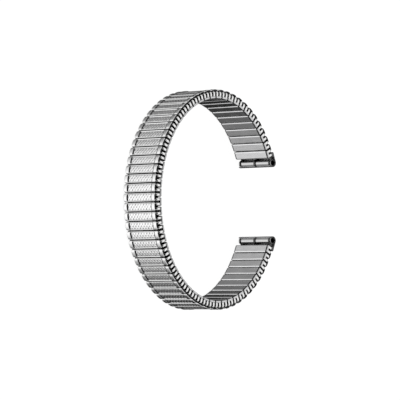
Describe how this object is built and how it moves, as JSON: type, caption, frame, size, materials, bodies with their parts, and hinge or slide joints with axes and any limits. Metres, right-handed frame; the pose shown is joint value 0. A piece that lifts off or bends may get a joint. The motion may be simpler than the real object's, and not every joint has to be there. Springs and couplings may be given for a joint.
{
  "type": "expansion watch band",
  "caption": "Open oval of two staggered rows of sprung steel sleeves laced by staples, with curled end covers and telescoping spring-bar tubes.",
  "frame": {"origin": "centre of the oval, on the plane of the lower side edge that the band lies on", "axes": "+Z along the band's width, +X from the centre to the middle of the gap for the watch case, +Y towards end A"},
  "size_m": [0.0468, 0.0584, 0.012],
  "materials": {
    "shell_steel": "bright rims, stamped panel",
    "link_steel": "satin",
    "staple_steel": "bright drawn strip",
    "spring_steel": "plain spring strip",
    "cover_steel": "satin",
    "bracket_steel": "dark plain strip",
    "tube_steel": "bright drawn tube"
  },
  "bodies": {
    "segment_01": {"top_shells_01": "shell_steel", "inner_links_01": "link_steel", "leaf_springs_01": "spring_steel"},
    "segment_02": {"top_shells_02": "shell_steel", "inner_links_02": "link_steel", "leaf_springs_02": "spring_steel"},
    "segment_03": {"top_shells_03": "shell_steel", "inner_links_03": "link_steel", "leaf_springs_03": "spring_steel"},
    "segment_04": {"top_shells_04": "shell_steel", "inner_links_04": "link_steel", "leaf_springs_04": "spring_steel"},
    "segment_05": {"top_shells_05": "shell_steel", "inner_links_05": "link_steel", "leaf_springs_05": "spring_steel"},
    "segment_06": {"top_shells_06": "shell_steel", "inner_links_06": "link_steel", "leaf_springs_06": "spring_steel"},
    "segment_07": {"top_shells_07": "shell_steel", "inner_links_07": "link_steel", "leaf_springs_07": "spring_steel"},
    "segment_08": {"top_shells_08": "shell_steel", "inner_links_08": "link_steel", "leaf_springs_08": "spring_steel"},
    "segment_09": {"top_shells_09": "shell_steel", "inner_links_09": "link_steel", "leaf_springs_09": "spring_steel"},
    "segment_10": {"top_shells_10": "shell_steel", "inner_links_10": "link_steel", "leaf_springs_10": "spring_steel"},
    "segment_11": {"top_shells_11": "shell_steel", "inner_links_11": "link_steel", "leaf_springs_11": "spring_steel"},
    "segment_12": {"top_shells_12": "shell_steel", "inner_links_12": "link_steel", "leaf_springs_12": "spring_steel"},
    "segment_13": {"top_shells_13": "shell_steel", "inner_links_13": "link_steel", "leaf_springs_13": "spring_steel"},
    "segment_14": {"top_shells_14": "shell_steel", "inner_links_14": "link_steel", "leaf_springs_14": "spring_steel"},
    "end_a": {"end_a_cover": "cover_steel", "end_a_bracket": "bracket_steel", "end_a_staples": "staple_steel"},
    "end_b": {"end_b_cover": "cover_steel", "end_b_bracket": "bracket_steel", "end_b_staples": "staple_steel"},
    "end_a_lower_tube": {"end_a_lower_tube": "tube_steel"},
    "end_a_upper_tube": {"end_a_upper_tube": "tube_steel"},
    "end_b_lower_tube": {"end_b_lower_tube": "tube_steel"},
    "end_b_upper_tube": {"end_b_upper_tube": "tube_steel"},
    "staple_pair_04": {"stretch_staples_04": "staple_steel"},
    "staple_pair_05": {"stretch_staples_05": "staple_steel"},
    "staple_pair_06": {"stretch_staples_06": "staple_steel"},
    "staple_pair_07": {"stretch_staples_07": "staple_steel"},
    "staple_pair_03": {"stretch_staples_03": "staple_steel"},
    "staple_pair_02": {"stretch_staples_02": "staple_steel"},
    "staple_pair_01": {"stretch_staples_01": "staple_steel"}
  },
  "joints": [
    {"name": "stretch_04_tilt", "type": "hinge", "parent": "segment_07", "child": "staple_pair_04", "pos_m": [-0.02358, -0.00091, 0.006], "axis": [0, 0, -1], "range_deg": [0, 36], "stiffness_Nm_per_rad": 0.002, "deforming": ["leaf_springs_07"]},
    {"name": "stretch_04_return", "type": "hinge", "parent": "staple_pair_04", "child": "segment_08", "pos_m": [-0.02183, -0.0003, 0.006], "axis": [0, 0, 1], "range_deg": [0, 36], "stiffness_Nm_per_rad": 0.002, "deforming": ["leaf_springs_08"]},
    {"name": "flex_04", "type": "hinge", "parent": "segment_08", "child": "segment_09", "pos_m": [-0.02039, -0.00983, 0.006], "axis": [0, 0, -1], "range_deg": [-4, 4]},
    {"name": "stretch_05_tilt", "type": "hinge", "parent": "segment_09", "child": "staple_pair_05", "pos_m": [-0.01735, -0.01937, 0.006], "axis": [0, 0, -1], "range_deg": [0, 36], "stiffness_Nm_per_rad": 0.002, "deforming": ["leaf_springs_09"]},
    {"name": "stretch_05_return", "type": "hinge", "parent": "staple_pair_05", "child": "segment_10", "pos_m": [-0.01628, -0.01786, 0.006], "axis": [0, 0, 1], "range_deg": [0, 36], "stiffness_Nm_per_rad": 0.002, "deforming": ["leaf_springs_10"]},
    {"name": "flex_05", "type": "hinge", "parent": "segment_10", "child": "segment_11", "pos_m": [-0.00934, -0.02433, 0.006], "axis": [0, 0, -1], "range_deg": [-4, 4]},
    {"name": "stretch_06_tilt", "type": "hinge", "parent": "segment_11", "child": "staple_pair_06", "pos_m": [-0.00038, -0.02859, 0.006], "axis": [0, 0, -1], "range_deg": [0, 36], "stiffness_Nm_per_rad": 0.002, "deforming": ["leaf_springs_11"]},
    {"name": "stretch_06_return", "type": "hinge", "parent": "staple_pair_06", "child": "segment_12", "pos_m": [-0.0009, -0.02681, 0.006], "axis": [0, 0, 1], "range_deg": [0, 36], "stiffness_Nm_per_rad": 0.002, "deforming": ["leaf_springs_12"]},
    {"name": "flex_06", "type": "hinge", "parent": "segment_12", "child": "segment_13", "pos_m": [0.00826, -0.02492, 0.006], "axis": [0, 0, -1], "range_deg": [-4, 4]},
    {"name": "stretch_07_tilt", "type": "hinge", "parent": "segment_13", "child": "staple_pair_07", "pos_m": [0.01689, -0.01996, 0.006], "axis": [0, 0, -1], "range_deg": [0, 36], "stiffness_Nm_per_rad": 0.002, "deforming": ["leaf_springs_13"]},
    {"name": "stretch_07_return", "type": "hinge", "parent": "staple_pair_07", "child": "segment_14", "pos_m": [0.01516, -0.01929, 0.006], "axis": [0, 0, 1], "range_deg": [0, 36], "stiffness_Nm_per_rad": 0.002, "deforming": ["leaf_springs_14"]},
    {"name": "flex_03", "type": "hinge", "parent": "segment_07", "child": "segment_06", "pos_m": [-0.02073, 0.00871, 0.006], "axis": [0, 0, 1], "range_deg": [-4, 4]},
    {"name": "stretch_03_tilt", "type": "hinge", "parent": "segment_06", "child": "staple_pair_03", "pos_m": [-0.01662, 0.01738, 0.006], "axis": [0, 0, -1], "range_deg": [0, 36], "stiffness_Nm_per_rad": 0.002, "deforming": ["leaf_springs_06"]},
    {"name": "stretch_03_return", "type": "hinge", "parent": "staple_pair_03", "child": "segment_05", "pos_m": [-0.0184, 0.01789, 0.006], "axis": [0, 0, 1], "range_deg": [0, 36], "stiffness_Nm_per_rad": 0.002, "deforming": ["leaf_springs_05"]},
    {"name": "flex_02", "type": "hinge", "parent": "segment_05", "child": "segment_04", "pos_m": [-0.01032, 0.02372, 0.006], "axis": [0, 0, 1], "range_deg": [-4, 4]},
    {"name": "stretch_02_tilt", "type": "hinge", "parent": "segment_04", "child": "staple_pair_02", "pos_m": [-0.00146, 0.02677, 0.006], "axis": [0, 0, -1], "range_deg": [0, 36], "stiffness_Nm_per_rad": 0.002, "deforming": ["leaf_springs_04"]},
    {"name": "stretch_02_return", "type": "hinge", "parent": "staple_pair_02", "child": "segment_03", "pos_m": [-0.00221, 0.02847, 0.006], "axis": [0, 0, 1], "range_deg": [0, 36], "stiffness_Nm_per_rad": 0.002, "deforming": ["leaf_springs_03"]},
    {"name": "flex_01", "type": "hinge", "parent": "segment_03", "child": "segment_02", "pos_m": [0.00722, 0.0254, 0.006], "axis": [0, 0, 1], "range_deg": [-4, 4]},
    {"name": "stretch_01_tilt", "type": "hinge", "parent": "segment_02", "child": "staple_pair_01", "pos_m": [0.01478, 0.01973, 0.006], "axis": [0, 0, -1], "range_deg": [0, 36], "stiffness_Nm_per_rad": 0.002, "deforming": ["leaf_springs_02"]},
    {"name": "stretch_01_return", "type": "hinge", "parent": "staple_pair_01", "child": "segment_01", "pos_m": [0.0157, 0.02134, 0.006], "axis": [0, 0, 1], "range_deg": [0, 36], "stiffness_Nm_per_rad": 0.002, "deforming": ["leaf_springs_01"]},
    {"name": "end_a_flex", "type": "hinge", "parent": "segment_01", "child": "end_a", "pos_m": [0.01956, 0.01211, 0.006], "axis": [0, 0, 1], "range_deg": [-4, 4]},
    {"name": "end_a_lower_tube_slide", "type": "slide", "parent": "end_a", "child": "end_a_lower_tube", "axis": [0, 0, -1], "range_m": [0, 0.001]},
    {"name": "end_a_upper_tube_slide", "type": "slide", "parent": "end_a", "child": "end_a_upper_tube", "axis": [0, 0, 1], "range_m": [0, 0.001]},
    {"name": "end_b_flex", "type": "hinge", "parent": "segment_14", "child": "end_b", "pos_m": [0.01956, -0.01211, 0.006], "axis": [0, 0, -1], "range_deg": [-4, 4]},
    {"name": "end_b_lower_tube_slide", "type": "slide", "parent": "end_b", "child": "end_b_lower_tube", "axis": [0, 0, -1], "range_m": [0, 0.001]},
    {"name": "end_b_upper_tube_slide", "type": "slide", "parent": "end_b", "child": "end_b_upper_tube", "axis": [0, 0, 1], "range_m": [0, 0.001]}
  ],
  "couplings": [
    {"joint": "stretch_04_return", "follows": "stretch_04_tilt", "ratio": 1},
    {"joint": "stretch_05_tilt", "follows": "stretch_04_tilt", "ratio": 1},
    {"joint": "stretch_05_return", "follows": "stretch_04_tilt", "ratio": 1},
    {"joint": "stretch_06_tilt", "follows": "stretch_04_tilt", "ratio": 1},
    {"joint": "stretch_06_return", "follows": "stretch_04_tilt", "ratio": 1},
    {"joint": "stretch_07_tilt", "follows": "stretch_04_tilt", "ratio": 1},
    {"joint": "stretch_07_return", "follows": "stretch_04_tilt", "ratio": 1},
    {"joint": "stretch_03_tilt", "follows": "stretch_04_tilt", "ratio": 1},
    {"joint": "stretch_03_return", "follows": "stretch_04_tilt", "ratio": 1},
    {"joint": "stretch_02_tilt", "follows": "stretch_04_tilt", "ratio": 1},
    {"joint": "stretch_02_return", "follows": "stretch_04_tilt", "ratio": 1},
    {"joint": "stretch_01_tilt", "follows": "stretch_04_tilt", "ratio": 1},
    {"joint": "stretch_01_return", "follows": "stretch_04_tilt", "ratio": 1}
  ]
}
